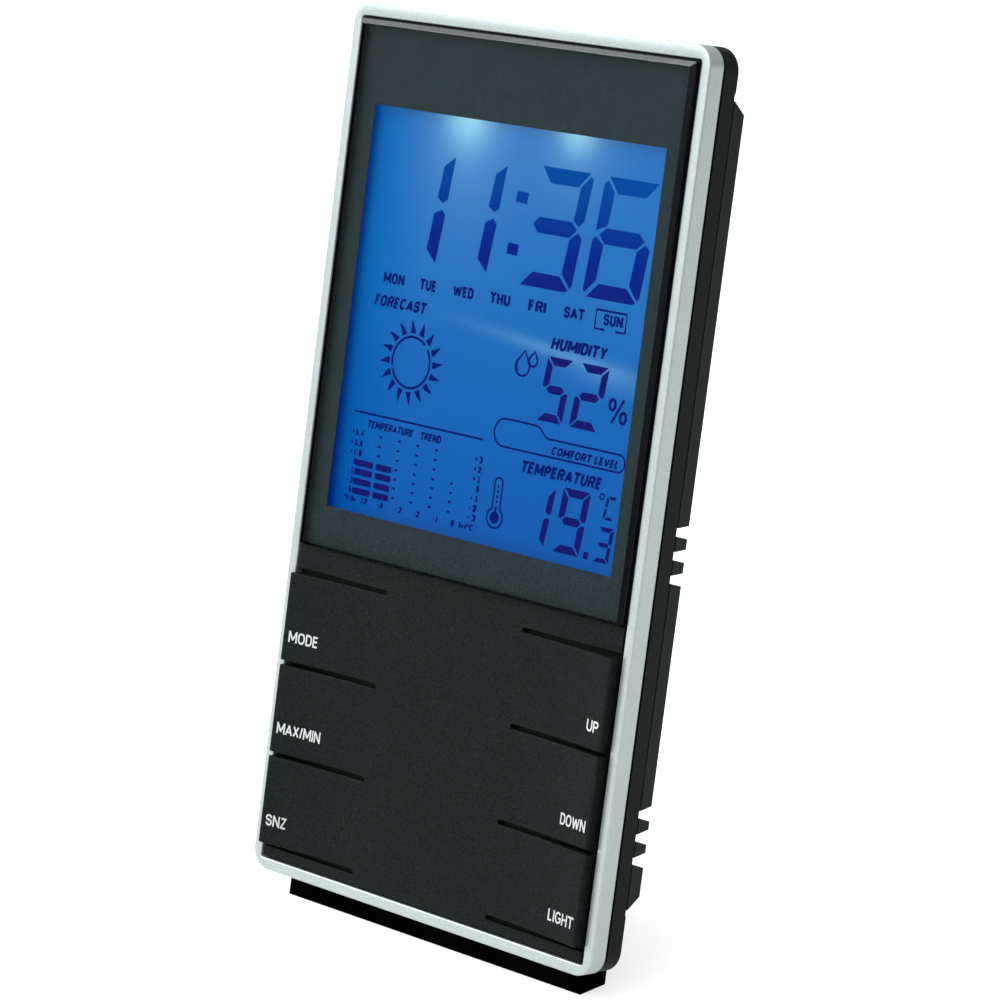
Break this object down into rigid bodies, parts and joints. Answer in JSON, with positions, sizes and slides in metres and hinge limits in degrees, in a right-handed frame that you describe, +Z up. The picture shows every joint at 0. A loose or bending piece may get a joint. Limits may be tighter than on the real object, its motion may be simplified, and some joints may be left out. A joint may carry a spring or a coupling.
{
  "type": "weather station",
  "caption": "Leaning desk weather station: silver-framed black body, blue-lit temperature and humidity display above long curved keys, with a fold-out rear leg.",
  "frame": {"origin": "on the ground, at the middle of the width and of the front-to-back size", "axes": "+X to the right as the display is read, +Y to the back, +Z up; the body leans back by 10.7 degrees about X"},
  "size_m": [0.078, 0.0398, 0.1525],
  "materials": {
    "silver_plastic": "satin silver paint",
    "black_plastic": "fine matte",
    "lens_acrylic": "clear, polished",
    "mask_print": "dark grey-green print",
    "keypad_plastic": "soft-touch matte",
    "foot_rubber": "matte",
    "polariser_film": "film",
    "lcd_glass": "clear",
    "white_film": "film",
    "light_guide_acrylic": "clear, lit blue",
    "white_plastic": "moulded",
    "led_white": "lit",
    "board_green": "solder mask",
    "connector_rubber": "silicone",
    "resin_black": "poured resin",
    "plated_steel": "nickel plated",
    "dark_steel": "black zinc",
    "button_cream": "moulded",
    "cell_wrap": "plain printed wrap",
    "lead_red": "wire insulation",
    "lead_black": "wire insulation"
  },
  "bodies": {
    "case": {"front_frame": "silver_plastic", "front_chassis": "black_plastic", "lens": "lens_acrylic", "display_mask": "mask_print", "front_polariser": "polariser_film", "lcd_front_glass": "lcd_glass", "lcd_rear_glass": "lcd_glass", "rear_polariser": "polariser_film", "diffuser_sheet": "white_film", "light_guide": "light_guide_acrylic", "reflector_sheet": "white_film", "backlight_tray": "white_plastic", "backlight_leds": "led_white", "led_board": "board_green", "zebra_strip": "connector_rubber", "main_pcb": "board_green", "controller_cover": "resin_black", "quartz_crystal": "plated_steel", "climate_sensor": "white_plastic", "buzzer": "black_plastic", "pcb_screws": "plated_steel", "switch_housings": "black_plastic", "keypad_panel": "keypad_plastic", "rear_shell": "black_plastic", "front_foot": "foot_rubber", "battery_cell_upper": "cell_wrap", "battery_cell_lower": "cell_wrap", "contact_link": "plated_steel", "contact_positive": "plated_steel", "contact_negative": "plated_steel", "lead_red": "lead_red", "lead_black": "lead_black", "case_screws": "dark_steel", "leg_pin": "plated_steel"},
    "key_mode": {"key_mode": "keypad_plastic"},
    "plunger_mode": {"plunger_mode": "button_cream"},
    "key_maxmin": {"key_maxmin": "keypad_plastic"},
    "plunger_maxmin": {"plunger_maxmin": "button_cream"},
    "key_snooze": {"key_snooze": "keypad_plastic"},
    "plunger_snooze": {"plunger_snooze": "button_cream"},
    "key_up": {"key_up": "keypad_plastic"},
    "plunger_up": {"plunger_up": "button_cream"},
    "key_down": {"key_down": "keypad_plastic"},
    "plunger_down": {"plunger_down": "button_cream"},
    "key_light": {"key_light": "keypad_plastic"},
    "plunger_light": {"plunger_light": "button_cream"},
    "door": {"battery_door": "black_plastic"},
    "leg": {"stand_leg": "black_plastic"}
  },
  "joints": [
    {"name": "key_mode_hinge", "type": "hinge", "parent": "case", "child": "key_mode", "pos_m": [-0.0153, -0.00979, 0.04875], "axis": [0, -0.1857, -0.9826], "range_deg": [0, 2], "stiffness_Nm_per_rad": 0.5},
    {"name": "plunger_mode_slide", "type": "slide", "parent": "case", "child": "plunger_mode", "axis": [0, 0.9826, -0.1857], "range_m": [0, 0.00053]},
    {"name": "key_maxmin_hinge", "type": "hinge", "parent": "case", "child": "key_maxmin", "pos_m": [-0.0153, -0.01277, 0.03298], "axis": [0, -0.1857, -0.9826], "range_deg": [0, 2], "stiffness_Nm_per_rad": 0.5},
    {"name": "plunger_maxmin_slide", "type": "slide", "parent": "case", "child": "plunger_maxmin", "axis": [0, 0.9826, -0.1857], "range_m": [0, 0.00053]},
    {"name": "key_snooze_hinge", "type": "hinge", "parent": "case", "child": "key_snooze", "pos_m": [-0.0153, -0.01575, 0.01721], "axis": [0, -0.1857, -0.9826], "range_deg": [0, 2], "stiffness_Nm_per_rad": 0.5},
    {"name": "plunger_snooze_slide", "type": "slide", "parent": "case", "child": "plunger_snooze", "axis": [0, 0.9826, -0.1857], "range_m": [0, 0.00053]},
    {"name": "key_up_hinge", "type": "hinge", "parent": "case", "child": "key_up", "pos_m": [0.0153, -0.00979, 0.04875], "axis": [0, 0.1857, 0.9826], "range_deg": [0, 2], "stiffness_Nm_per_rad": 0.5},
    {"name": "plunger_up_slide", "type": "slide", "parent": "case", "child": "plunger_up", "axis": [0, 0.9826, -0.1857], "range_m": [0, 0.00053]},
    {"name": "key_down_hinge", "type": "hinge", "parent": "case", "child": "key_down", "pos_m": [0.0153, -0.01277, 0.03298], "axis": [0, 0.1857, 0.9826], "range_deg": [0, 2], "stiffness_Nm_per_rad": 0.5},
    {"name": "plunger_down_slide", "type": "slide", "parent": "case", "child": "plunger_down", "axis": [0, 0.9826, -0.1857], "range_m": [0, 0.00053]},
    {"name": "key_light_hinge", "type": "hinge", "parent": "case", "child": "key_light", "pos_m": [0.0153, -0.01575, 0.01721], "axis": [0, 0.1857, 0.9826], "range_deg": [0, 2], "stiffness_Nm_per_rad": 0.5},
    {"name": "plunger_light_slide", "type": "slide", "parent": "case", "child": "plunger_light", "axis": [0, 0.9826, -0.1857], "range_m": [0, 0.00053]},
    {"name": "door_hinge", "type": "hinge", "parent": "case", "child": "door", "pos_m": [0, 0.01395, 0.07503], "axis": [-1, 0, 0], "range_deg": [0, 80]},
    {"name": "leg_hinge", "type": "hinge", "parent": "case", "child": "leg", "pos_m": [0, 0.00255, 0.04782], "axis": [1, 0, 0], "range_deg": [-26.5, 0]}
  ],
  "couplings": [
    {"joint": "plunger_mode_slide", "follows": "key_mode_hinge", "m_per_rad": 0.015},
    {"joint": "plunger_maxmin_slide", "follows": "key_maxmin_hinge", "m_per_rad": 0.015},
    {"joint": "plunger_snooze_slide", "follows": "key_snooze_hinge", "m_per_rad": 0.015},
    {"joint": "plunger_up_slide", "follows": "key_up_hinge", "m_per_rad": 0.015},
    {"joint": "plunger_down_slide", "follows": "key_down_hinge", "m_per_rad": 0.015},
    {"joint": "plunger_light_slide", "follows": "key_light_hinge", "m_per_rad": 0.015}
  ]
}
